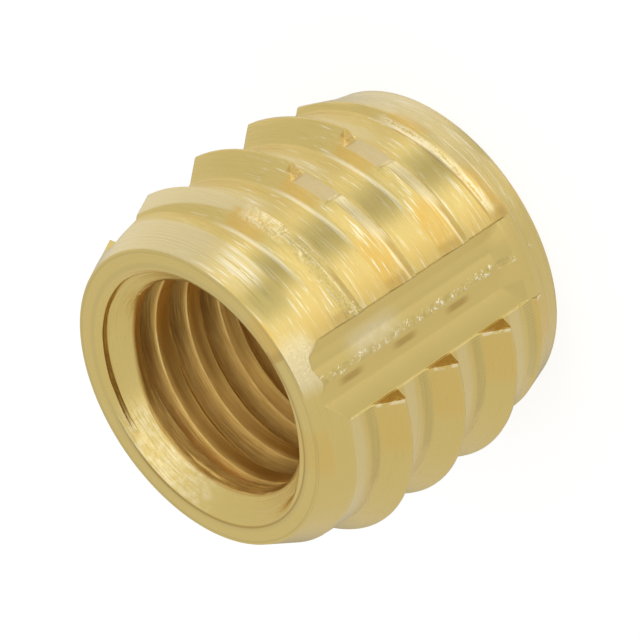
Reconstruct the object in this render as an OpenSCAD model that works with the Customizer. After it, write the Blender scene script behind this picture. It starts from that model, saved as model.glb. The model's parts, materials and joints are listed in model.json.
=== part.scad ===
// Self-tapping threaded insert, turned from one piece of brass.
// Millimetres, +Z up along the axis. The origin is on the axis, in the plane
// of the rear end, so the insert stands on its rear end with its mouth up.

/* [Body] */
// Overall length, from the rear end to the mouth face
body_l = 6.1; // [5:0.1:9]
// How much smaller the mouth face's radius is than the crests'
mouth_cone_drop = 0.7; // [0.4:0.02:0.8]
// Half angle of the lead-in cone at the mouth end
mouth_cone_angle = 25; // [20:1:35]
// How much smaller the rear face's radius is than the crests'
rear_cone_drop = 0.54; // [0.3:0.02:0.9]
// Half angle of the cone at the rear end
rear_cone_angle = 17.5; // [12:0.5:30]

/* [Outer thread] */
// Diameter over the crests
crest_d = 7.34; // [6.6:0.02:8.8]
// Height of the crests above the body between them
thread_depth = 0.39; // [0.2:0.01:0.5]
// Distance from one turn to the next
outer_pitch = 1.38; // [1:0.02:2]
// Width of the flat on the crest
crest_w = 0.05; // [0.04:0.01:0.3]
// Angle of the mouth side's flank from square to the axis
lead_flank_angle = 47; // [30:1:60]
// Angle of the rear side's flank from square to the axis
rear_flank_angle = 25; // [20:1:50]
// Height of one crest's rear edge above the rear end, on the +X side
crest_z = 3.2; // [2:0.05:4.4]

/* [Cutting flutes] */
// Directions of the flutes' bottom lines, which aren't quite evenly spaced
flute_azimuths = [-22.5, 94.5, 217.5]; // [-60:0.5:240]
// Depth of that bottom line below the body between the crests
flute_depth = 0.18; // [0.1:0.01:0.4]
// Angle from the bottom line to the flute's wide side
flute_wide_angle = 17; // [8:0.5:22]
// Width of the steeper strip along that wide side, as an angle
flute_strip_angle = 3.5; // [2:0.5:6]
// Depth of that strip's foot below the body between the crests
flute_strip_depth = 0.145; // [0.05:0.005:0.3]
// Angle from the bottom line to the flute's narrow side
flute_narrow_angle = 11; // [5:0.5:16]
// Height above the rear end at which the flute starts to run out
flute_end_z = 1.2; // [0.9:0.05:1.8]
// Angle of that run-out from the axis
flute_end_angle = 24; // [20:1:45]

/* [Screw hole] */
// Diameter at the crests of the inner thread
hole_d = 4.3; // [3.2:0.05:4.6]
// Width of the countersink at the mouth, measured square to the axis
countersink_w = 0.32; // [0.1:0.01:0.4]
// Half angle of that countersink
countersink_angle = 57; // [40:1:65]
// Height of the straight wall above that countersink
countersink_wall_h = 0.13; // [0.05:0.01:0.3]
// Width of the broken edge around the countersink's wall
mouth_edge_w = 0.12; // [0.05:0.01:0.2]
// Depth of that broken edge
mouth_edge_depth = 0.07; // [0.05:0.01:0.3]
// Width of the plain 45 degree countersink at the rear end
rear_countersink_w = 0.3; // [0.1:0.05:0.6]

/* [Hidden] */
brass = [0.78, 0.68, 0.41];
eps = 0.01;
round_fn = 96;
// A prime number, so that no flute's wall lies along a facet's edge
steps_per_turn = 47;

crest_r = crest_d / 2;
root_r = crest_r - thread_depth;
mouth_face_r = crest_r - mouth_cone_drop;
rear_face_r = crest_r - rear_cone_drop;

// Each flank's run along the axis
lead_run = thread_depth * tan(lead_flank_angle);
rear_run = thread_depth * tan(rear_flank_angle);
// The ridge's flanks run on this far into the body
ridge_sink = 0.05;
sunk_r = root_r - ridge_sink;
sunk_share = (crest_r - sunk_r) / thread_depth;
// The blank stands this far proud of the crests, which are sharp points on it
blank_spare = 0.02;
blank_r = crest_r + blank_spare;
mouth_cone_l = (mouth_cone_drop + blank_spare) / tan(mouth_cone_angle);
rear_cone_l = (rear_cone_drop + blank_spare) / tan(rear_cone_angle);
// Whole turns below and above the named crest, so that the helix passes both ends
turns_down = ceil(crest_z / outer_pitch) + 1;
turns_up = ceil((body_l - crest_z) / outer_pitch) + 1;

flute_bottom_r = root_r - flute_depth;
// The V's sides end this far below the body's surface, at the radial walls
flute_wall_foot = 0.02;
flute_side_r = root_r - flute_wall_foot;
flute_strip_r = root_r - flute_strip_depth;
flute_outer_r = crest_r + 1;
flute_end_rise = flute_end_z * tan(flute_end_angle);

hole_r = hole_d / 2;
countersink_r = hole_r + countersink_w;
mouth_edge_r = countersink_r + mouth_edge_w;
wall_top_z = body_l - mouth_edge_depth;
wall_foot_z = wall_top_z - countersink_wall_h;
countersink_foot_z = wall_foot_z - countersink_w / tan(countersink_angle);
rear_countersink_r = hole_r + rear_countersink_w;

// Cross-section of the ridge, as [radius, height above the crest's rear edge]
ridge_profile = [
    [sunk_r, -rear_run * sunk_share],
    [crest_r, 0],
    [crest_r, crest_w],
    [sunk_r, crest_w + lead_run * sunk_share]
];

// The ridge's cross-section carried round a right-hand helix, as one closed mesh
module helical_ridge() {
    n = len(ridge_profile);
    rings = (turns_down + turns_up) * steps_per_turn;
    first = -turns_down * steps_per_turn;
    function corner(step, p) = let(a = 360 * step / steps_per_turn) [
        p[0] * cos(a),
        p[0] * sin(a),
        crest_z + p[1] + outer_pitch * a / 360
    ];
    points = [for (i = [0:rings], p = ridge_profile) corner(first + i, p)];
    sides = [for (i = [0:rings - 1], j = [0:n - 1]) let(
            a = i * n + j,
            b = i * n + (j + 1) % n
        ) each [[a, b, b + n], [a, b + n, a + n]]];
    start_cap = [for (j = [0:n - 1]) n - 1 - j];
    end_cap = [for (j = [0:n - 1]) rings * n + j];
    polyhedron(points = points, faces = concat(sides, [start_cap, end_cap]), convexity = 10);
}

// The turned outline of the blank, a cylinder over the crests with a cone at each end
module turned_outline() {
    rotate_extrude($fn = round_fn)
        polygon([
            [0, 0],
            [rear_face_r, 0],
            [blank_r, rear_cone_l],
            [blank_r, body_l - mouth_cone_l],
            [mouth_face_r, body_l],
            [0, body_l]
        ]);
}

// Cone that the cutter leaves as it runs out near the rear end
module run_out_cone() {
    translate([0, 0, -eps])
        cylinder(
            h = flute_end_z + eps,
            r1 = flute_bottom_r + flute_end_rise,
            r2 = flute_bottom_r,
            $fn = round_fn
        );
}

// One flute: a shallow V below the body's surface, between two radial walls, with a
// steeper strip along its wide side
module flute_cut() {
    function at(r, a) = [r * cos(a), r * sin(a)];
    difference() {
        linear_extrude(body_l + eps)
            polygon([
                at(flute_bottom_r, 0),
                at(flute_side_r, -flute_narrow_angle),
                at(flute_outer_r, -flute_narrow_angle),
                at(flute_outer_r, flute_wide_angle),
                at(flute_side_r, flute_wide_angle),
                at(flute_strip_r, flute_wide_angle - flute_strip_angle)
            ]);
        run_out_cone();
    }
}

// The hole at the inner thread's crests
module screw_hole() {
    translate([0, 0, -eps])
        cylinder(h = body_l + 2 * eps, r = hole_r, $fn = round_fn);
}

// The countersink at the mouth, with its straight wall and broken edge
module mouth_countersink() {
    rotate_extrude($fn = round_fn)
        polygon([
            [0, countersink_foot_z],
            [hole_r, countersink_foot_z],
            [countersink_r, wall_foot_z],
            [countersink_r, wall_top_z],
            [mouth_edge_r, body_l],
            [mouth_edge_r, body_l + eps],
            [0, body_l + eps]
        ]);
}

// The plain countersink at the rear end
module rear_countersink() {
    rotate_extrude($fn = round_fn)
        polygon([
            [0, -eps],
            [rear_countersink_r, -eps],
            [rear_countersink_r, 0],
            [hole_r, rear_countersink_w],
            [0, rear_countersink_w]
        ]);
}

module insert_body() {
    color(brass)
        difference() {
            intersection() {
                union() {
                    cylinder(h = body_l, r = root_r, $fn = round_fn);
                    helical_ridge();
                }
                turned_outline();
            }
            for (azimuth = flute_azimuths)
                rotate([0, 0, azimuth])
                    flute_cut();
            screw_hole();
            mouth_countersink();
            rear_countersink();
        }
}

insert_body();
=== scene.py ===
# %% [markdown]
# # A self-tapping threaded insert in turned brass
#
# The part is a short brass bush, about 6 mm long and 7 mm across. Outside it has a sharp,
# widely spaced thread that cuts its own way into wood or plastic, and three flutes that give
# the thread its cutting edges. Inside it has an ordinary metric screw thread, taken to be M5.
# It is one piece of metal, so the lesson makes one closed surface with numpy and spends the
# rest of its effort on the finish that turning, milling and tapping leave on brass, and on the
# highlights, reflections and shade that are painted into its colour.

# %% Load the frame
import json
import math

import bpy
import numpy as np
from mathutils import Matrix, Vector


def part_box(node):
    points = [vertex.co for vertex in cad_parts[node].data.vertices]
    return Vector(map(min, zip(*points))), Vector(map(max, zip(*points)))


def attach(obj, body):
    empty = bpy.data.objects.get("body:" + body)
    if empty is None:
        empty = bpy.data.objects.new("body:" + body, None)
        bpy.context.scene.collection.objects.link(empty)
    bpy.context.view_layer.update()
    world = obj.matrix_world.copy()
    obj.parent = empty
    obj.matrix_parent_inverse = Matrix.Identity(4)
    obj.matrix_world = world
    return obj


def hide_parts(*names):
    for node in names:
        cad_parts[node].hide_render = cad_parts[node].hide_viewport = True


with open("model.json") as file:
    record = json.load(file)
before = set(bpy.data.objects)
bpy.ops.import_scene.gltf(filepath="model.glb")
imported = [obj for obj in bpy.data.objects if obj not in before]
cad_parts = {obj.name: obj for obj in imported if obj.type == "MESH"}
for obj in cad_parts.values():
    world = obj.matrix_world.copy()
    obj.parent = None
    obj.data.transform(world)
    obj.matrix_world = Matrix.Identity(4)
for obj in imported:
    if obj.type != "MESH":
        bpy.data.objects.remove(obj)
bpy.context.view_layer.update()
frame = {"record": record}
MM = 0.001

# %% [markdown]
# ## Sizes
#
# A turned part is described by a few radii and lengths. The overall length, the radius over
# the crests and the radius of the screw hole come from the frame, because the drawing and
# the picture must agree on them. The rest are named here once, in millimetres and degrees,
# and everything below is worked out from them.

# %% Driving sizes
high_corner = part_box("insert_body")[1]
mounts = {mount["name"]: mount for mount in frame["record"]["mounts"]}
length = high_corner.z / MM
# The smooth crests stand this far inside the faceted ones, so that none passes the CAD's box
inside_box = 0.01
crest_r = high_corner.x / MM - inside_box
hole_r = mounts["screw_thread"]["dims"]["r_mm"]

thread_depth = 0.38
root_r = crest_r - thread_depth
pitch = 1.38
crest_z = 3.2
crest_w = 0.05
lead_flank = math.radians(47)
rear_flank = math.radians(25)

mouth_face_r = 2.97
mouth_cone = math.radians(25)
rear_face_r = 3.13
rear_cone = math.radians(17.5)

flute_azimuths = np.radians([-22.5, 94.5, -142.5])
flute_wide = math.radians(17)
flute_narrow = math.radians(11)
flute_bottom_r = 3.10
flute_end_z = 1.2
flute_end_slope = math.tan(math.radians(24))

countersink_r = 2.47
countersink_cone = math.radians(57)
countersink_wall_h = 0.13
mouth_edge_r = 2.59
mouth_edge_depth = 0.07
worn_edge_r = 2.62
rear_countersink_r = 2.45

screw_pitch = 0.8
screw_depth = 0.33
screw_crest_w = 0.32
screw_start = -0.305

# Height of the bevel along the rims of both end faces
bevel_w = 0.02

TURN = 2 * math.pi
lead_run = math.tan(lead_flank)
rear_run = math.tan(rear_flank)
mouth_slope = math.tan(mouth_cone)
rear_slope = math.tan(rear_cone)
print("crest radius", round(crest_r, 3), "root radius", round(root_r, 3))
print("length", round(length, 3))

# %% [markdown]
# ## Columns of the surface
#
# The surface is a grid of columns round the axis and rows along it. Evenly spaced columns
# would round off the flutes' walls, so extra columns stand close to both sides of each wall
# and of each bottom line. That costs a few columns, where a finer grid would cost thousands.

# %% Azimuths of the columns
even_columns = 470
wall_gap = math.radians(0.12)
close_by = math.radians(0.42)
nick_start, nick_end, nick_wall = np.radians([28.0, 41.5, 3.2])
flute_creases = [-3.0, 3.4, 4.6, 13.5]


def special_azimuths():
    """Azimuths of the flutes' walls, and of the first flute's creases and its land's nick."""
    walls = np.concatenate([flute_azimuths - flute_narrow, flute_azimuths + flute_wide])
    lines = flute_azimuths[0] + np.radians(flute_creases)
    return walls, np.concatenate([lines, [nick_start, nick_end, nick_end + nick_wall]])


def column_azimuths():
    """Even steps round the axis, thinned out and refilled beside each wall and line."""
    walls, lines = special_azimuths()
    spots = np.concatenate([walls, lines])
    even = -math.pi + TURN / even_columns * np.arange(even_columns)
    turn_between = np.angle(np.exp(1j * (even[:, None] - spots[None, :])))
    even = even[np.abs(turn_between).min(axis=1) > close_by * 1.3]
    steps = np.array([-close_by, -wall_gap, wall_gap, close_by])
    extra = (spots[:, None] + steps[None, :]).ravel()
    return np.sort(np.angle(np.exp(1j * np.concatenate([even, extra]))))


phi = column_azimuths()
print(len(phi), "columns")

# %% [markdown]
# ## The outer surface as one height function
#
# A lathe, a thread chaser and a milling cutter each remove metal, so the surface that is left
# is the lowest of three surfaces at every point: the turned outline with its two cones, the
# ridge of the thread on the plain body, and the flute. That makes it easy to write: one
# function gives each cutter's radius at an azimuth and height, and the minimum is the part.

# %% Radius left by each cutter
worn_side, worn_width = np.radians([70.0, 17.0])
worn_depth = 0.065
worn_top_z = 2.7
nick_depth = 0.195
pressed_depth = 0.11
before_nick_rise = 0.07
pressed_ramp = math.radians(0.9)


def blend_min(a, b, width):
    """The smaller of two values, with the corner between them rounded over a width."""
    gap = np.clip(0.5 + 0.5 * (b - a) / width, 0, 1)
    return b + (a - b) * gap - width * gap * (1 - gap)


def outline_radius(azimuth, z):
    """Turned outline: a straight line at each end, leaning in by the cone's angle. One side of
    the rear end is worn down a little, by a bell curve of the azimuth."""
    at_mouth = mouth_face_r + (length - z) * mouth_slope
    bell = np.exp(-(((azimuth - worn_side) / worn_width) ** 2))
    worn = worn_depth * bell * np.clip(worn_top_z - z, 0, 1) * np.clip(z / 0.3, 0, 1)
    at_rear = np.minimum(rear_face_r + z * rear_slope, crest_r) - worn
    return np.minimum(at_mouth, at_rear)


def crest_height(azimuth, turn):
    """Height of the crest above the root. The first land's crests are pressed down near the
    flute, and on the two middle turns a deeper nick ends the pressed stretch."""
    near = np.clip((nick_start - azimuth) / pressed_ramp, 0, 1)
    nick = np.clip((nick_end + nick_wall - azimuth) / nick_wall, 0, 1)
    pressed = azimuth > flute_azimuths[0] + flute_wide - close_by
    middle = (turn == 0) | (turn == -1)
    drop = np.where(middle, nick_depth * nick - before_nick_rise * near, pressed_depth * near)
    return thread_depth - drop * pressed


def ridge_radius(azimuth, z):
    """Ridge: distance to the nearest turn of the helix gives the height on either flank."""
    turns_up = (z - crest_z) / pitch - azimuth / TURN
    turn = np.floor(turns_up + 0.5)
    along = (turns_up - turn) * pitch
    rear = thread_depth + along / rear_run
    lead = thread_depth - (along - crest_w) / lead_run
    rise = np.minimum(np.minimum(rear, lead), crest_height(azimuth, turn))
    return root_r + np.maximum(rise, 0)


flute_angles = np.radians([-11.0, -3.0, 0.0, 3.4, 4.6, 9.5, 13.5, 17.0])
flute_radii = np.array([3.26, 3.095, 3.11, 3.15, 3.15, 3.11, 3.135, 3.26])
# Radius that stands for no flute, well outside the part
no_flute_r = 9.0


def flute_radius(azimuth):
    """Flute: the radius at the angle from the nearest flute, between the points of the milled
    form, and far outside the part where there is no flute. Two passes of the cutter leave a
    low rib between them."""
    away = np.angle(np.exp(1j * (azimuth[..., None] - flute_azimuths)))
    nearest = np.abs(away).argmin(axis=-1)[..., None]
    away = np.take_along_axis(away, nearest, axis=-1)[..., 0]
    inside = (away > -flute_narrow) & (away < flute_wide)
    return np.where(inside, np.interp(away, flute_angles, flute_radii), no_flute_r)


print("flute radius at its bottoms", flute_radius(flute_azimuths).round(3))

# %% [markdown]
# ## Rows that follow the thread
#
# A ridge that is sharp needs rows that run along its edges. Each turn gives rows at the two
# feet and the two crest corners, as pairs a hair apart so that every edge gets a narrow
# bevel that catches the light. Where a cone or a flute cuts the ridge lower, the corner
# slides down its flank to the cut. All rows of a column are then sorted by height, which lets
# the helical rows cross the ring-shaped ones without any special case.

# %% Rows of the outer surface
edge = 0.012
foot = 0.022


def corner_height(foot_z, direction, run, height):
    """How far up a flank its corner lies, as the least of the crest and both cones' cuts."""
    mouth_cut = (mouth_face_r - root_r + (length - foot_z) * mouth_slope) / (
        1 + direction * run * mouth_slope
    )
    rear_cut = (rear_face_r - root_r + foot_z * rear_slope) / (1 - direction * run * rear_slope)
    return np.clip(np.minimum(height, np.minimum(mouth_cut, rear_cut)), 0, thread_depth)


def outer_rows(azimuth):
    """Heights of the rows in each column, sorted, for the whole length of the part."""
    first = -math.ceil(crest_z / pitch) - 1
    last = math.ceil((length - crest_z) / pitch) + 1
    rows = []
    for turn in range(first, last + 1):
        crest = crest_z + pitch * (azimuth / TURN + turn)
        height = crest_height(azimuth, np.full(azimuth.shape, turn))
        rear_foot = crest - thread_depth * rear_run
        lead_foot = crest + crest_w + thread_depth * lead_run
        rear_corner = rear_foot + rear_run * corner_height(rear_foot, 1, rear_run, height)
        lead_corner = lead_foot - lead_run * corner_height(lead_foot, -1, lead_run, height)
        rows += [rear_foot - foot, rear_foot + foot, rear_corner - edge, rear_corner + edge]
        rows += [lead_corner - edge, lead_corner + edge, lead_foot - foot, lead_foot + foot]
        rows += [lead_corner + (lead_foot - lead_corner) * share for share in (0.33, 0.66)]
        rows += [lead_foot + 0.15, lead_foot + 0.34, lead_foot + 0.52]
    per_turn = len(rows) // (last - first + 1)
    nose = length - (np.minimum(root_r, flute_radius(azimuth)) - mouth_face_r) / mouth_slope
    tail = (root_r - rear_face_r) / rear_slope + 0 * azimuth
    rows += [nose + step for step in (-0.16, -0.07, 0.0, 0.07, 0.16)]
    rows += [nose * (1 - share) + length * share for share in (0.45, 0.7)]
    rows += [tail - 0.04, tail + 0.04, tail * 0.5]
    run_out_steps = (-0.55, -0.47, -0.36, -0.24, -0.12, 0.0)
    rows += [flute_end_z + step + 0 * azimuth for step in run_out_steps]
    rows += [bevel_w + 0 * azimuth, length - bevel_w + 0 * azimuth]
    rows = np.stack(rows, axis=1)
    rows = np.clip(rows, bevel_w, length - bevel_w)
    return np.sort(rows, axis=1), per_turn


outer_z, rows_per_turn = outer_rows(phi)
print(outer_z.shape[1], "rows outside,", rows_per_turn, "for each turn")


# %% Radius of the outer surface
def outer_radius(azimuth, z):
    """The lowest of the three cutters, with a rounded corner where the cone meets the body."""
    ridge = ridge_radius(azimuth, z)
    outline = outline_radius(azimuth, z)
    rounded = blend_min(ridge, outline, 0.05)
    body = np.where(ridge > root_r + 0.001, np.minimum(ridge, outline), rounded)
    run_out = flute_bottom_r + np.maximum(flute_end_z - z, 0) * flute_end_slope
    return np.minimum(body, np.maximum(flute_radius(azimuth), run_out))


outer_r = outer_radius(phi[:, None], outer_z)
print("outer radius from", outer_r.min().round(3), "to", outer_r.max().round(3))

# %% [markdown]
# ## The screw hole
#
# The M5 thread inside is made the same way: a flat crest on the hole's wall, sides at 30
# degrees from square, and a narrow root. Below the countersink's cone comes a plain band of
# wall, and under it the thread's depth starts from nothing and grows along a ramp.
#
# The mouth isn't quite even all round, as on a real part. On one side its straight wall is
# worn to a plain cone, on another the cone's foot lies deeper, and on a third the lip is a
# little smaller. Each is a smooth share of the azimuth, from 0 to 1, that a formula is mixed by.

# %% Rows and radius of the screw thread
side_run = math.tan(math.radians(30))
screw_root_w = screw_pitch - screw_crest_w - 2 * screw_depth * side_run
wall_foot_z = length - mouth_edge_depth - countersink_wall_h
wall_middle_z = wall_foot_z + 0.6 * countersink_wall_h
countersink_foot_z = wall_foot_z - (countersink_r - hole_r) / math.tan(countersink_cone)
ramp_slope = 3.0
plain_band = 0.31
scored_depth, scored_width = 0.007, 0.02
# Azimuths counted from the far side, in degrees: where the wall starts to be worn, is all
# worn and starts to be whole again, and how far round that last change goes
worn_from, worn_to, worn_end, worn_fade = -25.0, 20.0, 85.0, 30.0
# The deeper foot starts at the first of these, is deepest from the second to the third, and
# ends at the last
deep_from, deep_to, deep_back, deep_end = 5.0, -45.0, -56.0, -88.0
foot_drop = 0.17
# Direction, half width and drop of the smaller lip
small_lip_at, small_lip_width = np.radians([-48.0, 26.0])
small_lip_drop = 0.1
# A short scratch below the cone: direction and half width in degrees, place, size
scratch_at, scratch_round = 36.0, 16.0
scratch_below, scratch_width, scratch_depth = 0.09, 0.028, 0.03


def from_far_side(azimuth):
    """Azimuth in degrees, counted from the far side of the hole, between -180 and 180."""
    return np.degrees(np.angle(np.exp(1j * (azimuth - math.pi))))


def smooth(share):
    """Cubic that rises from 0 to 1 and is level at both ends."""
    return share * share * (3 - 2 * share)


def lip_radius(azimuth):
    """Radius of the broken edge on the mouth plane, less a bell curve of the azimuth."""
    bell = np.exp(-(((azimuth - small_lip_at) / small_lip_width) ** 2))
    return mouth_edge_r - small_lip_drop * bell


def countersink_foot(azimuth):
    """Height of the cone's foot, which lies deeper on one side of the hole."""
    away = from_far_side(azimuth)
    share = np.clip((deep_from - away) / (deep_from - deep_to), 0, 1)
    share = share * np.clip((away - deep_end) / (deep_back - deep_end), 0, 1)
    return countersink_foot_z - foot_drop * smooth(share)


def worn_share(azimuth):
    """How far the countersink's wall is worn away: 0 on the upper side, 1 on the lower side."""
    away = from_far_side(azimuth)
    share = np.clip((away - worn_from) / (worn_to - worn_from), 0, 1)
    return smooth(share * (1 - np.clip((away - worn_end) / worn_fade, 0, 1)))


def screw_radius(azimuth, z):
    """Hole's wall plus the groove of the thread, held back by the ramp below the plain band,
    and opened by the countersink at each end."""
    along = (z - screw_start - screw_pitch * azimuth / TURN) % screw_pitch
    from_root = np.abs(along - screw_pitch / 2) - screw_root_w / 2
    groove = np.clip(screw_depth - np.maximum(from_root, 0) / side_run, 0, screw_depth)
    ramp = np.maximum(countersink_foot_z - plain_band - z, 0) * ramp_slope
    end_ramp = np.maximum(z - 0.02, 0) * ramp_slope
    groove = np.minimum(groove, np.minimum(ramp, end_ramp))
    foot = countersink_foot(azimuth)
    cone = hole_r + (z - foot) * (countersink_r - hole_r) / (wall_foot_z - foot)
    cone = np.minimum(cone, countersink_r)
    scored = scored_depth * np.exp(-(((z - wall_middle_z) / scored_width) ** 2))
    lip_r = lip_radius(azimuth)
    lip = lip_r - (length - z) * (lip_r - countersink_r) / mouth_edge_depth
    lip = np.where(z > length - mouth_edge_depth, lip, 0)
    fresh = np.maximum(cone, lip) + scored
    share = (z - foot) / (length - foot)
    worn = hole_r + share * (worn_edge_r - hole_r)
    opened = np.where(share > 0, fresh + (worn - fresh) * worn_share(azimuth), fresh)
    along_scratch = (from_far_side(azimuth) - scratch_at) / scratch_round
    across_scratch = (z - foot + scratch_below) / scratch_width
    scratch = scratch_depth * np.exp(-(across_scratch**2) - along_scratch**4)
    return np.maximum(hole_r + groove + scratch, np.maximum(opened, rear_countersink_r - z))


def screw_rows(azimuth):
    """Heights of the rows inside the hole, sorted, from the rear end to the mouth."""
    last = math.ceil(length / screw_pitch) + 1
    rows = []
    half_root = screw_root_w / 2
    half_open = half_root + screw_depth * side_run
    for turn in range(-2, last + 1):
        root = screw_start + screw_pitch * (azimuth / TURN + turn + 0.5)
        rows += [root + side * half_root for side in (-1, 1)]
        rows += [root + side * (half_open + step) for side in (-1, 1) for step in (-0.02, 0.012)]
        rows += [root + side * (half_root + half_open) / 2 for side in (-1, 1)]
        rows += [root]
    per_turn = len(rows) // (last + 3)
    lip_foot = length - mouth_edge_depth
    steps = (-plain_band - 0.1, -plain_band - 0.05, -plain_band)
    rows += [countersink_foot_z + step + 0 * azimuth for step in steps]
    foot_steps = (-0.15, -0.12, -0.09, -0.06, -0.02, 0.02, 0.08)
    rows += [countersink_foot(azimuth) + step for step in foot_steps]
    rows += [wall_foot_z + step + 0 * azimuth for step in (-0.015, 0.015)]
    rows += [wall_middle_z + step + 0 * azimuth for step in (-0.03, -0.015, 0.0, 0.015, 0.03)]
    rows += [lip_foot + step + 0 * azimuth for step in (-0.01, 0.01)]
    rows += [rear_countersink_r - hole_r + step + 0 * azimuth for step in (-0.02, 0.02)]
    rows = np.clip(np.stack(rows, axis=1), bevel_w, length - bevel_w)
    return np.sort(rows, axis=1), per_turn


inner_z, screw_rows_per_turn = screw_rows(phi)
inner_r = screw_radius(phi[:, None], inner_z)
print(inner_z.shape[1], "rows inside")
print("hole from", inner_r.min().round(3), "to", inner_r.max().round(3))

# %% [markdown]
# ## Closing the surface
#
# Four strips make the closed surface: outside, mouth face, hole and rear face. Each strip is
# a grid of columns and rows. Round the axis, a helix arrives one turn higher than it left,
# so the last column of a threaded strip joins the first column one turn's rows further on.
# The strips share their edge points exactly, and equal points are then merged.

# %% Strips of the grid
def strip_points(azimuth, radius, z):
    """Points of one strip: radius and azimuth become x and y, and the height is z."""
    azimuth = np.broadcast_to(azimuth[:, None], radius.shape)
    return np.stack([radius * np.cos(azimuth), radius * np.sin(azimuth), z + 0 * radius], axis=-1)


def strip_triangles(columns, rows, seam_shift, start):
    """Two triangles for each cell of the grid. The seam joins row i to row i plus the shift."""
    here = np.arange(rows)
    column = np.arange(columns)[:, None]
    index = start + column * rows + here[None, :]
    shifted = start + np.minimum(here + seam_shift, rows - 1)
    following = np.concatenate([index[1:], shifted[None, :]])
    a, b = index[:, :-1], following[:, :-1]
    c, d = following[:, 1:], index[:, 1:]
    cells = np.stack([a, b, c, a, c, d], axis=-1)
    return cells.reshape(-1, 3)


def ring_strip(azimuth, r_from, r_to, z, shares):
    """A flat ring between two radii, with rows at the given shares of its width."""
    shares = np.asarray(shares)[None, :]
    radius = r_from[:, None] * (1 - shares) + r_to[:, None] * shares
    return strip_points(azimuth, radius, z)


mouth_r_out = mouth_face_r - 0.004 + 0 * phi
mouth_r_in = lip_radius(phi) + 0.01 + (worn_edge_r - lip_radius(phi)) * worn_share(phi)
rear_r_out = rear_face_r - 0.03 + 0 * phi
rear_r_in = rear_countersink_r + 0.01 + 0 * phi


def with_ends(azimuth, radius, z, r_low, r_high, seam_shift):
    """Adds the row on the mouth plane to a strip along the part, and the row on the rear plane,
    which is repeated so that the seam's shift always starts from it."""
    repeated = np.ones((1, seam_shift + 1))
    z = np.concatenate([0 * z[:, :1] * repeated, z, 0 * z[:, :1] + length], axis=1)
    radius = np.concatenate([r_low[:, None] * repeated, radius, r_high[:, None]], axis=1)
    return strip_points(azimuth, radius, z)


outside_strip = with_ends(phi, outer_r, outer_z, rear_r_out, mouth_r_out, rows_per_turn)
hole_strip = with_ends(phi, inner_r, inner_z, rear_r_in, mouth_r_in, screw_rows_per_turn)
mouth_strip = ring_strip(phi, mouth_r_in, mouth_r_out, length, (0, 0.5, 1))
rear_strip = ring_strip(phi, rear_r_in, rear_r_out, 0.0, (0, 0.5, 1))
# Each strip with its shift at the seam, and whether its triangles are turned over
strips = [
    (outside_strip, rows_per_turn, False),
    (hole_strip, screw_rows_per_turn, True),
    (mouth_strip, 0, True),
    (rear_strip, 0, False),
]


# %% Merge the strips into one mesh
def merged(points, triangles):
    """Equal points become one, and triangles that lose a corner by that are dropped."""
    keys = np.round(points, 5) + 0.0
    _, first, place = np.unique(keys, axis=0, return_index=True, return_inverse=True)
    triangles = place.ravel()[triangles]
    a, b, c = triangles.T
    whole = (a != b) & (b != c) & (c != a)
    return points[first], triangles[whole]


points, triangles, start = [], [], 0
for grid, shift, flip in strips:
    columns, rows, _ = grid.shape
    strip = strip_triangles(columns, rows, shift, start)
    triangles.append(strip[:, ::-1] if flip else strip)
    points.append(grid.reshape(-1, 3))
    start += columns * rows
points, triangles = merged(np.concatenate(points), np.concatenate(triangles))
print(len(points), "points,", len(triangles), "triangles")

# %% [markdown]
# ## Shading normals
#
# Smooth shading averages the directions of the faces round a point. If each face counts by
# its area, the wide flanks keep their own direction right up to the edge and the narrow
# bevel between them takes the whole turn, as a polished corner does.

# %% Mesh object
def area_normals(points, triangles):
    """Sum of the cross products of the triangles at each point, which weighs them by area."""
    corner = points[triangles]
    across = np.cross(corner[:, 1] - corner[:, 0], corner[:, 2] - corner[:, 0])
    total = np.zeros_like(points)
    for side in range(3):
        for axis in range(3):
            total[:, axis] += np.bincount(triangles[:, side], across[:, axis], len(points))
    return total / np.linalg.norm(total, axis=1, keepdims=True)


def mesh_object(name, points, triangles):
    """A mesh object in metres, with its points placed in the frame and smooth normals."""
    mesh = bpy.data.meshes.new(name)
    mesh.vertices.add(len(points))
    mesh.vertices.foreach_set("co", (points * MM).astype(np.float32).ravel())
    mesh.loops.add(triangles.size)
    mesh.loops.foreach_set("vertex_index", triangles.astype(np.int32).ravel())
    mesh.polygons.add(len(triangles))
    mesh.polygons.foreach_set("loop_start", np.arange(0, triangles.size, 3, dtype=np.int32))
    mesh.polygons.foreach_set("use_smooth", np.ones(len(triangles), dtype=bool))
    mesh.update(calc_edges=True)
    mesh.validate()
    mesh.normals_split_custom_set_from_vertices(area_normals(points, triangles))
    piece = bpy.data.objects.new(name, mesh)
    bpy.context.scene.collection.objects.link(piece)
    return piece


body = mesh_object("brass_insert", points, triangles)
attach(body, "root")
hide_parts("insert_body")
sides = np.sort(triangles[:, [0, 1, 1, 2, 2, 0]].reshape(-1, 2), axis=1)
faces_at_edge = np.unique(sides, axis=0, return_counts=True)[1]
print("edges with two faces:", int((faces_at_edge == 2).sum()))
print("other edges:", int((faces_at_edge != 2).sum()))
corner = points[triangles]
volume = (corner[:, 0] * np.cross(corner[:, 1], corner[:, 2])).sum() / 6
print("volume in cubic mm:", round(float(volume), 2))

# %% [markdown]
# ## Writing a finish as formulas
#
# A material is a graph of nodes, and a formula is easier to read than a graph. The small
# class below stands for a number inside the graph. Adding or multiplying two of them adds
# the Math node that does it, so a mask can be written just as it would be in numpy.


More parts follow.
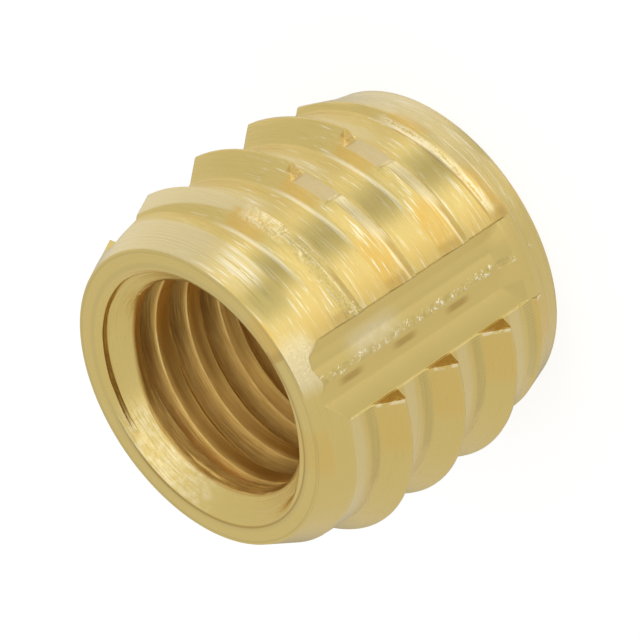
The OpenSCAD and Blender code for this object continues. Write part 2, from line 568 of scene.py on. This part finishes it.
# %% Numbers and nodes of a material
class Number:
    """A number socket. Python's operators on it add Math nodes to its graph."""

    def __init__(self, graph, socket):
        self.graph, self.socket = graph, socket

    def __add__(self, other):
        return self.graph.math("ADD", self, other)

    def __sub__(self, other):
        return self.graph.math("SUBTRACT", self, other)

    def __mul__(self, other):
        return self.graph.math("MULTIPLY", self, other)

    def __truediv__(self, other):
        return self.graph.math("DIVIDE", self, other)

    def __rsub__(self, other):
        return self.graph.math("SUBTRACT", other, self)

    __radd__, __rmul__ = __add__, __mul__


class Graph:
    """The nodes of a material or of the world."""

    def __init__(self, owner):
        owner.use_nodes = True
        self.tree = owner.node_tree
        self.tree.nodes.clear()

    def node(self, kind, settings, sockets, output=0):
        """Adds a node of a type: its settings first, then the values or links of its sockets."""
        made = self.tree.nodes.new(kind)
        for name, value in settings.items():
            setattr(made, name, value)
        for key, value in sockets.items():
            if isinstance(value, Number):
                self.tree.links.new(value.socket, made.inputs[key])
            else:
                made.inputs[key].default_value = value
        return Number(self, made.outputs[output]) if made.outputs else made

    def math(self, operation, *values):
        """One Math node."""
        return self.node("ShaderNodeMath", {"operation": operation}, dict(enumerate(values)))

    def step(self, value, start, end):
        """Rises smoothly from 0 to 1 as the value goes from start to end."""
        sockets = {"Value": value, "From Min": start, "From Max": end}
        return self.node("ShaderNodeMapRange", {"interpolation_type": "SMOOTHSTEP"}, sockets)

    def band(self, value, low, high, soft):
        """1 between low and high, and 0 outside them, with soft edges."""
        rises = self.step(value, low - soft, low + soft)
        return rises * (1 - self.step(value, high - soft, high + soft))

    def mix(self, share, first, second):
        """Mixes two colours."""
        settings = {"data_type": "RGBA"}
        return self.node("ShaderNodeMix", settings, {0: share, 6: first, 7: second}, output=2)

    def vector(self, x, y, z):
        """Puts three numbers together into a vector."""
        return self.node("ShaderNodeCombineXYZ", {}, {0: x, 1: y, 2: z})

    def noise(self, vector, w, scale, detail, roughness=0.5):
        """Noise in four dimensions, from 0 to 1."""
        sockets = {"Vector": vector, "W": w, "Scale": scale, "Detail": detail}
        sockets["Roughness"] = roughness
        return self.node("ShaderNodeTexNoise", {"noise_dimensions": "4D"}, sockets)


print("node kinds used so far: Math, Map Range, Mix, Combine XYZ, Noise")

# %% [markdown]
# ## The brass
#
# Free-cutting brass straight from the lathe is bare metal: its colour is the colour of its
# reflection, and its finish is in the marks of the tools. Turning leaves fine rings round the
# axis, the milling cutter leaves the flutes almost plain, and the tap leaves the screw
# thread dark, because light has to bounce twice there. So the material first works out where
# a point is, as a radius, an azimuth and a phase of the thread, and then mixes the marks.
# Much of the colour is painted light as well: painted highlights and glints, painted
# reflections of the tent's panels and of its darker gap, and painted shade in recesses and
# on the screw thread.

# %% Brass material
brass = bpy.data.materials.new("turned_brass")
g = Graph(brass)
place = g.node("ShaderNodeTexCoord", {}, {}, output="Object")
xyz = g.node("ShaderNodeSeparateXYZ", {}, {0: place})
split = xyz.socket.node.outputs
x, y, z = (Number(g, split[axis]) * (1 / MM) for axis in range(3))
r = g.math("SQRT", x * x + y * y)
azimuth = g.math("ARCTAN2", y, x) * (180 / math.pi)
ring_x, ring_y = x / r, y / r


def turning_lines(fineness, spread):
    """Rings round the axis: noise that changes fast along the section and slowly round it."""
    where = g.vector(ring_x * spread, ring_y * spread, z * fineness)
    return g.noise(where, r * fineness, 1.0, 3.0, 0.6)


fine = turning_lines(34.0, 0.9)
coarse = turning_lines(9.0, 0.7)
streaks = turning_lines(26.0, 5.0)
cloud = g.noise(g.vector(x, y, z), 0.0, 1.3, 3.0)
grain = g.noise(g.vector(x, y, z), 0.0, 22.0, 3.0)
cloud_fine = g.noise(g.vector(x, y, z), 5.0, 7.0, 3.0)

# Phase of the thread: 0 at a crest's rear edge, counted towards the mouth in mm
pitch_per_degree = pitch / 360
rise = z - crest_z - azimuth * pitch_per_degree
phase = g.math("WRAP", rise, pitch - 0.32, -0.32)
turn_index = (rise - phase) / pitch
foot_phase = crest_w + thread_depth * lead_run
# Phase of the screw thread: 0 at the middle of a crest
screw_rise = z - azimuth * (screw_pitch / 360) - screw_start
screw_phase = g.math("WRAP", screw_rise, screw_pitch / 2, -screw_pitch / 2)
# Azimuth counted from the far side of the bore, so that it doesn't jump there
turned_away = g.math("WRAP", azimuth - 180.0, 180.0, -180.0)


def patch(azimuth_from, azimuth_to, phase_from, phase_to, soft_round=0.8, soft_along=0.03):
    """A four-sided patch of the thread, between two azimuths and two phases."""
    round_axis = g.band(azimuth, azimuth_from, azimuth_to, soft_round)
    return round_axis * g.band(phase, phase_from, phase_to, soft_along)


def on_turn(index):
    """1 on one turn of the thread."""
    return g.math("COMPARE", turn_index, index, 0.5)


wide_wall = math.degrees(flute_azimuths[0] + flute_wide)
narrow_wall = math.degrees(flute_azimuths[0] - flute_narrow)
bottom = math.degrees(flute_azimuths[0])
first_land = g.band(azimuth, wide_wall, math.degrees(flute_azimuths[1] - flute_narrow), 0.2)
right_land = g.band(azimuth, math.degrees(flute_azimuths[2] + flute_wide), narrow_wall, 0.2)
narrow_side, wide_side = -math.degrees(flute_narrow), math.degrees(flute_wide)
in_flute = 0.0
walls = 0.0
for flute_at in np.degrees(flute_azimuths):
    to_flute = g.math("WRAP", azimuth - float(flute_at), 180.0, -180.0)
    in_flute = g.band(to_flute, narrow_side, wide_side, 0.3) + in_flute
    walls = g.band(to_flute, narrow_side - 0.16, narrow_side + 0.2, 0.04) + walls
above_root = g.step(r, root_r + 0.012, root_r + 0.03)
in_flute = in_flute * (1 - g.step(r, root_r - 0.015, root_r - 0.005)) * g.step(z, 0.25, 0.5)
in_hole = 1 - g.step(r, hole_r + 0.44, hole_r + 0.47)
outside = g.step(r, 2.96, 2.98)
mouth_line = mouth_face_r + length * mouth_slope
mouth_cone_area = g.step(r + z * mouth_slope, mouth_line - 0.01, mouth_line) * outside
in_flute = in_flute * (1 - mouth_cone_area) * outside
rear_cone_area = (1 - g.step(z, 0.8, 0.95)) * outside
mouth_face_area = g.step(z, length - 0.012, length - 0.006)

# Tones that the brass takes. Spark, glint and gold serve for painted highlights, brown mostly
# for painted shade, and whitish, orange, copper and olive also for painted reflections
deep = (0.765, 0.575, 0.190, 1)
pale = (0.795, 0.620, 0.235, 1)
whitish = (0.86, 0.735, 0.44, 1)
orange = (0.80, 0.53, 0.14, 1)
brown = (0.47, 0.29, 0.075, 1)
copper = (0.92, 0.58, 0.16, 1)
olive = (0.56, 0.455, 0.165, 1)
tan = (0.74, 0.60, 0.33, 1)
spark = (1.0, 0.93, 0.68, 1)
glint = (0.98, 0.84, 0.50, 1)
gold = (1.0, 0.74, 0.27, 1)

base = g.mix(cloud * 0.5 + fine * 0.5, deep, pale)
# Turning lines, as lighter and darker rings, strongest beside the first flute. The rings are
# the metal's own marks; there, where the tent's bright panels are reflected, the bright and
# dark streaks on them are painted highlight and painted darker reflection
ring_area = outside * (1 - in_flute)
front = g.band(azimuth, -8.0, 56.0, 10.0)
base = g.mix(g.step(fine, 0.44, 0.30) * ring_area * (front * 0.3 + 0.2), base, olive)
base = g.mix(g.step(streaks, 0.57, 0.66) * ring_area * front * 0.8, base, spark)
base = g.mix(g.step(streaks, 0.42, 0.33) * ring_area * front * 0.45, base, olive)
# Painted reflection of the white tent: paler metal at one side of the mouth's cone, on the
# rear cone and behind each ridge. The azimuth jumps from 180 to -180 at the back, so the first
# two fade out before it
before_jump = g.step(azimuth, 176.0, 130.0)
far_side = g.step(azimuth, 25.0, 50.0) * before_jump
base = g.mix(mouth_cone_area * far_side * 0.65, base, whitish)
base = g.mix(rear_cone_area * g.step(azimuth, -10.0, 45.0) * before_jump * 0.35, base, whitish)
behind = g.band(phase, 0.80, 1.12, 0.08) * outside * (1 - mouth_cone_area) * (1 - in_flute)
base = g.mix(behind * (1 - g.band(azimuth, -30.0, 40.0, 6.0)) * 0.35, base, whitish)
# Painted reflection of the tent's darker gap: a greyer stretch of the mouth's cone and of the
# grooves
grey_cone = g.band(azimuth, 8.0, 20.0, 4.0) * g.band(z, 5.5, 6.0, 0.12) * mouth_cone_area
base = g.mix(grey_cone * (streaks + 0.25), base, olive)
grey_back = g.band(azimuth, 15.0, 26.0, 4.0) * g.band(z, 4.9, 5.4, 0.12) * mouth_cone_area
base = g.mix(grey_back * 0.6, base, olive)
# Painted highlight on the mouth's cone, beside the greyer stretch
bright_cone = g.band(azimuth, 22.0, 36.0, 4.0) * g.band(z, 5.3, 5.95, 0.12) * mouth_cone_area
base = g.mix(bright_cone * g.step(fine, 0.40, 0.60) * 0.7, base, spark)
# Painted darker reflection of the same gap in the roots
grey_root = patch(13.0, 29.0, foot_phase - 0.05, 1.06, 4.0, 0.08) * outside * (1 - mouth_cone_area)
base = g.mix(grey_root * 0.6, base, olive)
# Painted orange reflection in the roots beside the first flute, of light that bounces off it
warm_root = patch(wide_wall, 3.0, foot_phase, 1.1, 3.0, 0.05) * first_land
base = g.mix(warm_root * 0.35, base, orange)
# Front flanks beside the first flute and before the nick: painted orange reflection, with a
# painted darker stretch near the nick, and the same orange on the right land's flanks
flank_end = patch(wide_wall, 13.0, 0.07, foot_phase, 4.0) * first_land
flank_nick = patch(30.0, 44.0, 0.12, foot_phase, 2.0) * first_land
flank_end = flank_end * (0.95 - on_turn(1) * 0.8)
base = g.mix(flank_end * g.step(streaks, 0.64, 0.44), base, orange)
base = g.mix(flank_nick * 0.7, base, orange)
base = g.mix(patch(25.0, 34.0, 0.12, foot_phase, 3.0) * first_land * 0.3, base, olive)
flank_right = patch(-52.0, narrow_wall, 0.05, foot_phase, 4.0) * right_land
base = g.mix(flank_right * 0.4, base, orange)
# The crest near the flute: a dull flat between two painted highlight lines, then a worn
# stretch with a painted highlight on it
middle_turns = on_turn(0) + on_turn(-1)
near_crest = g.band(azimuth, wide_wall, 26.0, 2.0) * first_land * above_root
dull_flat = g.band(phase, -0.045, 0.06, 0.012) * g.band(azimuth, wide_wall, 9.0, 3.0)
base = g.mix(dull_flat * near_crest * 0.55, base, brown)
base = g.mix(g.band(phase, 0.075, 0.110, 0.012) * near_crest * 0.75, base, glint)
base = g.mix(g.band(phase, -0.10, -0.065, 0.012) * near_crest * 0.4, base, glint)
rubbed_highlight = patch(9.0, 31.0, -0.05, 0.17, 3.0, 0.03) * middle_turns * first_land
base = g.mix(rubbed_highlight * (streaks * 0.8 + 0.15), base, glint)
# Painted shade at the ends of the flanks beside the flute, and a painted darker reflection on one
# of the middle turns
dark_end = patch(wide_wall, -2.0, 0.12, 0.45, 1.2, 0.05) * first_land
base = g.mix(dark_end * (streaks * 0.5 + 0.15), base, brown)
base = g.mix(patch(16.0, 24.0, 0.24, 0.50, 3.0, 0.04) * on_turn(-1) * 0.45, base, olive)
# Painted highlight along the foot of each front flank
foot_highlight = patch(15.0, 45.0, foot_phase - 0.03, foot_phase + 0.04, 6.0, 0.02) * first_land
base = g.mix(foot_highlight * 0.5, base, spark)
# Facet of the nick, and painted shade on the step behind it
step_shade = patch(41.2, 44.6, -0.03, 0.16, 0.5) * above_root
base = g.mix(step_shade * middle_turns * 0.6, base, brown)
facet = patch(28.6, 41.2, -0.16, 0.26, 0.5, 0.015) * above_root * middle_turns
base = g.mix(facet * 0.85, base, tan)
# Rough, bruised stretch of the first turn's crest: darker flecks at random, and bright flecks
# that are painted glints
bruise_and_glints = patch(-5.0, 24.0, -0.14, 0.26, 3.0, 0.05) * on_turn(1)
base = g.mix(bruise_and_glints * g.step(streaks + grain * 0.4, 0.58, 0.78) * 0.7, base, olive)
base = g.mix(bruise_and_glints * g.step(cloud_fine + streaks, 1.10, 1.22) * 0.9, base, glint)
# Painted glare on a rough stretch of the same crest
rough_top_glare = patch(26.0, 41.0, -0.12, 0.26, 2.0, 0.04) * on_turn(1)
base = g.mix(rough_top_glare * g.step(grain + cloud_fine, 0.80, 1.25) * 0.8, base, glint)
# Chattered band before each ridge of the right land
stripes = g.math("SINE", azimuth * (2 * math.pi / 1.15)) * 0.3 + 0.7
chatter = patch(-65.0, -28.0, foot_phase, foot_phase + 0.22, 3.0, 0.035) * right_land
base = g.mix(chatter * stripes * 0.6, base, olive)
# End faces of the ridges in painted shade, with a painted glint along their burred edge
base = g.mix(walls * above_root * 0.95, base, brown)
burr_glint = g.band(azimuth, narrow_wall - 1.2, narrow_wall - 0.1, 0.2)
burr_glint = burr_glint * g.band(phase, 0.03, foot_phase - 0.04, 0.03)
base = g.mix(burr_glint * above_root * g.step(cloud_fine, 0.44, 0.56) * 0.85, base, glint)
# The first flute: duller sides, painted shadows on its bottom line, and crumbs of burrs beside
# it with painted glints on them
dull_sides = g.band(azimuth, narrow_wall, bottom - 3.5, 0.8) * 0.25
dull_sides = dull_sides + g.band(azimuth, -18.0, -12.0, 1.5) * 0.2
base = g.mix(dull_sides * in_flute, base, olive)
bottom_line = g.band(azimuth, bottom - 0.6, bottom + 1.8, 0.6)
bottom_shadows = bottom_line * g.band(phase, 0.30, 0.80, 0.14) * in_flute * g.step(z, 1.7, 2.0)
base = g.mix(bottom_shadows * 0.6, base, brown)
crumb_line = g.band(azimuth, bottom + 3.2, bottom + 5.8, 0.6) * in_flute
glinting_crumbs = crumb_line * g.step(grain * 0.5 + cloud_fine * 0.5, 0.53, 0.60)
base = g.mix(crumb_line * g.step(cloud_fine, 0.50, 0.36) * 0.6, base, olive)
base = g.mix(glinting_crumbs, base, spark)
smear = g.band(azimuth, -17.5, -10.0, 3.0) * g.band(z, 3.7, 4.8, 0.3) * in_flute
base = g.mix(smear * (cloud_fine * 1.2 + 0.1), base, whitish)
# Painted glint on the burred end of the flute, on the mouth's cone
glinting_burred_end = g.band(azimuth, -19.0, -1.0, 4.0) * g.step(z, 5.45, 5.75) * mouth_cone_area
base = g.mix(glinting_burred_end * (streaks * 0.9 + 0.3), base, glint)
# The mouth face: two darker rings, near its outer and its inner edge
base = g.mix(g.band(r, 2.895, 2.935, 0.012) * mouth_face_area * 0.45, base, olive)
base = g.mix(g.band(r, 2.60, 2.70, 0.03) * mouth_face_area * 0.3, base, olive)
# The countersink down to its foot, burnished on one side, where the brightness is a painted
# highlight
deeper = g.step(turned_away, deep_from, deep_to) * g.step(turned_away, deep_end, deep_back)
from_foot = z + deeper * foot_drop - countersink_foot_z
past_foot = g.step(from_foot, 0.0, 0.03)
cone_area = (1 - g.step(r, worn_edge_r - 0.03, worn_edge_r)) * past_foot
burnish_and_glint = cone_area * g.band(turned_away, -12.0, 42.0, 9.0)
base = g.mix(burnish_and_glint * g.step(streaks * 0.5 + cloud_fine * 0.5, 0.40, 0.62) * 0.7, base, glint)
edge_line = g.band(r, worn_edge_r - 0.02, worn_edge_r + 0.02, 0.012)
edge_line = edge_line * g.step(turned_away, -5.0, 15.0)
base = g.mix(edge_line * g.step(z, length - 0.06, length - 0.03) * 0.7, base, brown)
# The screw thread, in painted light and shade: a copper tint for the light that bounces twice
# there, painted highlights on the corners, a warm crest between them, and painted shade on the
# flanks and roots, on the crests of one side and near the rim. The flanks that face the mouth
# are painted lit on the lower side, and so is the plain band above them
thread_area = in_hole * (1 - past_foot)
base = g.mix(thread_area * 0.7, base, copper)
half_crest = screw_crest_w / 2
base = g.mix(g.step(screw_phase, 0.13, -0.12) * thread_area * 0.5, base, brown)
flank_shade = g.step(g.math("ABSOLUTE", screw_phase), half_crest + 0.01, half_crest + 0.05)
flank_lit = g.step(screw_phase, 0.02, 0.14) * g.band(turned_away, -22.0, 62.0, 12.0)
band_lit = g.step(z, 5.34, 5.42) * g.band(turned_away, -8.0, 80.0, 12.0)
in_shade = thread_area * (1 - flank_lit * 0.9) * (1 - band_lit)
base = g.mix(flank_shade * in_shade * 0.75, base, brown)
base = g.mix(flank_lit * thread_area * g.step(streaks, 0.36, 0.62) * 0.7, base, gold)
shaded_crest_flat = g.band(screw_phase, -0.15, 0.08, 0.05) * thread_area * (1 - band_lit)
base = g.mix(shaded_crest_flat * g.band(turned_away, -50.0, -2.0, 12.0) * 0.6, base, brown)
near_rim_shade = thread_area * g.step(turned_away, 42.0, 62.0) * (1 - band_lit)
base = g.mix(near_rim_shade * 0.5, base, brown)
base = g.mix(band_lit * thread_area * g.step(streaks, 0.36, 0.62) * 0.8, base, gold)
mouth_corner_highlight = g.band(screw_phase, half_crest - 0.035, half_crest + 0.02, 0.014) * thread_area
base = g.mix(mouth_corner_highlight * (g.step(cloud, 0.42, 0.60) * 0.7 + 0.3), base, gold)
rear_corner = g.band(screw_phase, -half_crest - 0.04, -half_crest, 0.014) * thread_area
base = g.mix(rear_corner * g.step(streaks, 0.50, 0.62) * 0.9, base, gold)
# Painted shade at the foot of the countersink's cone
cone_foot_shade = cone_area * (1 - g.step(from_foot, 0.01, 0.05))
base = g.mix(cone_foot_shade * 0.6, base, brown)
# Rough edge where the last turn meets the rear cone: painted glints on it, and a thin line of
# painted shade below it
collar_edge_glint = patch(-1.0, 46.0, 0.37, 0.46, 3.0, 0.02) * on_turn(-2)
base = g.mix(collar_edge_glint * g.step(streaks + grain * 0.5, 0.62, 0.80), base, glint)
base = g.mix(patch(-3.0, 40.0, 0.47, 0.51, 3.0, 0.012) * on_turn(-2) * 0.6, base, brown)

# Height of the marks, and how rough the metal is between them
lines = (fine * 0.6 + coarse * 0.4) * (1 - in_flute * 0.9) + glinting_crumbs * 0.6 + facet * grain * 0.6
lines = lines + burnish_and_glint * streaks * 1.2 + bruise_and_glints * grain
lines = lines + rough_top_glare * grain * 0.5 + glinting_burred_end * grain
bump = g.node("ShaderNodeBump", {}, {"Strength": 0.5, "Distance": 0.00003, "Height": lines})
rough = 0.30 + (fine - 0.5) * 0.22 + in_flute * 0.06 + facet * 0.18
rough = rough + thread_area * 0.12 + (flank_lit + band_lit) * thread_area * 0.18
shader = g.node(
    "ShaderNodeBsdfPrincipled",
    {},
    {"Base Color": base, "Metallic": 1.0, "Roughness": rough, "Normal": bump},
)
g.node("ShaderNodeOutputMaterial", {}, {"Surface": shader})
body.data.materials.append(brass)
print("turned_brass has", len(g.tree.nodes), "nodes")

# %% [markdown]
# ## Light
#
# Small bright parts are best lit inside a white tent: soft light from everywhere, a few
# brighter panels that draw streaks along the metal, and a darker gap between them. The
# world does all of that here as a function of direction, so nothing has to be placed round the
# part. The camera itself sees plain white.

# %% World as a light tent
world = bpy.data.worlds.new("light_tent")
bpy.context.scene.world = world
w = Graph(world)
direction = w.node("ShaderNodeTexCoord", {}, {}, output="Generated")
dir_split = w.node("ShaderNodeSeparateXYZ", {}, {0: direction}).socket.node.outputs
dx, dy, dz = (Number(w, dir_split[axis]) for axis in range(3))
turned = w.math("ARCTAN2", dy, dx) * (180 / math.pi)
raised = w.math("ARCSINE", dz) * (180 / math.pi)
low_panels = w.band(turned, -4.0, 67.0, 7.0) * w.band(raised, -62.0, 20.0, 8.0)
high_panel = w.band(turned, -14.0, 52.0, 9.0) * w.band(raised, 20.0, 62.0, 8.0)
gap = w.band(turned, 31.0, 50.0, 6.0) * w.band(raised, -60.0, -5.0, 6.0)
gap = gap + w.band(turned, 21.0, 40.0, 6.0) * w.band(raised, -5.0, 22.0, 6.0)
top_panel = w.band(turned, -20.0, 88.0, 10.0) * w.band(raised, 47.0, 72.0, 4.0)
level = 0.72 + low_panels * 0.55 + high_panel * 0.34 - gap * low_panels * 0.85 + top_panel * 0.34
limb = w.step(w.math("ABSOLUTE", turned), 146.0, 170.0) * w.band(raised, -50.0, -18.0, 8.0)
low_side = w.band(turned, 80.0, 180.0, 8.0) * (1 - w.step(raised, -10.0, 10.0))
level = level - limb * 0.45 + low_side * 0.16
lit = w.node("ShaderNodeBackground", {}, {"Color": (1, 1, 1, 1), "Strength": level})
seen = w.node("ShaderNodeBackground", {}, {"Color": (1, 1, 1, 1), "Strength": 1.0})
eye = w.node("ShaderNodeLightPath", {}, {}, output="Is Camera Ray")
both = w.node("ShaderNodeMixShader", {}, {0: eye, 1: lit, 2: seen})
w.node("ShaderNodeOutputWorld", {}, {"Surface": both})
print("light_tent has", len(w.tree.nodes), "nodes")

# %% [markdown]
# ## Floor
#
# The part stands on a white floor that keeps a faint shadow. The floor glows a little for
# the camera alone, so it meets the white background without a line. It is left out of the
# metal's reflections, where the tent takes its place.

# %% Floor
floor_mesh = bpy.data.meshes.new("floor")
half = 0.5
floor_points = [(-half, -half, 0), (half, -half, 0), (half, half, 0), (-half, half, 0)]
floor_mesh.from_pydata(floor_points, [], [(0, 1, 2, 3)])
floor = bpy.data.objects.new("floor", floor_mesh)
bpy.context.scene.collection.objects.link(floor)
floor.visible_glossy = False
floor.visible_shadow = False
paper = bpy.data.materials.new("white_floor")
f = Graph(paper)
eye = f.node("ShaderNodeLightPath", {}, {}, output="Is Camera Ray")
matte = f.node("ShaderNodeBsdfDiffuse", {}, {"Color": (0.3, 0.3, 0.3, 1)})
glow = f.node("ShaderNodeEmission", {}, {"Strength": eye * 0.8})
whole = f.node("ShaderNodeAddShader", {}, {0: matte, 1: glow})
f.node("ShaderNodeOutputMaterial", {}, {"Surface": whole})
floor_mesh.materials.append(paper)
print("floor", 2 * half, "m square")

# %% [markdown]
# ## Camera
#
# The picture is a close-up with a long lens, so lines along the axis stay nearly parallel. The
# camera looks down on the mouth from the side of the first land, and it is rolled about
# its own axis, so that the standing part appears to lie with its mouth to the lower left.

# %% Camera
elevation = math.radians(34.549)
roll = math.radians(-123.519)
distance = 144.476
aim = Vector((0.040, -0.042, 2.991))

back = Vector((math.cos(elevation), 0, math.sin(elevation)))
level_right = (-back).cross(Vector((0, 0, 1))).normalized()
level_up = level_right.cross(-back)
right = level_right * math.cos(roll) + level_up * math.sin(roll)
up = level_up * math.cos(roll) - level_right * math.sin(roll)

lens = bpy.data.cameras.new("camera")
lens.lens = 450
lens.sensor_width = 36
lens.clip_start = 0.01
lens.clip_end = 10
camera = bpy.data.objects.new("camera", lens)
bpy.context.scene.collection.objects.link(camera)
turn = Matrix((right, up, back)).transposed()
camera.matrix_world = Matrix.Translation((aim + back * distance) * MM) @ turn.to_4x4()
bpy.context.scene.camera = camera
bpy.context.scene.view_settings.view_transform = "Standard"
print("camera at", [round(v, 4) for v in camera.location])
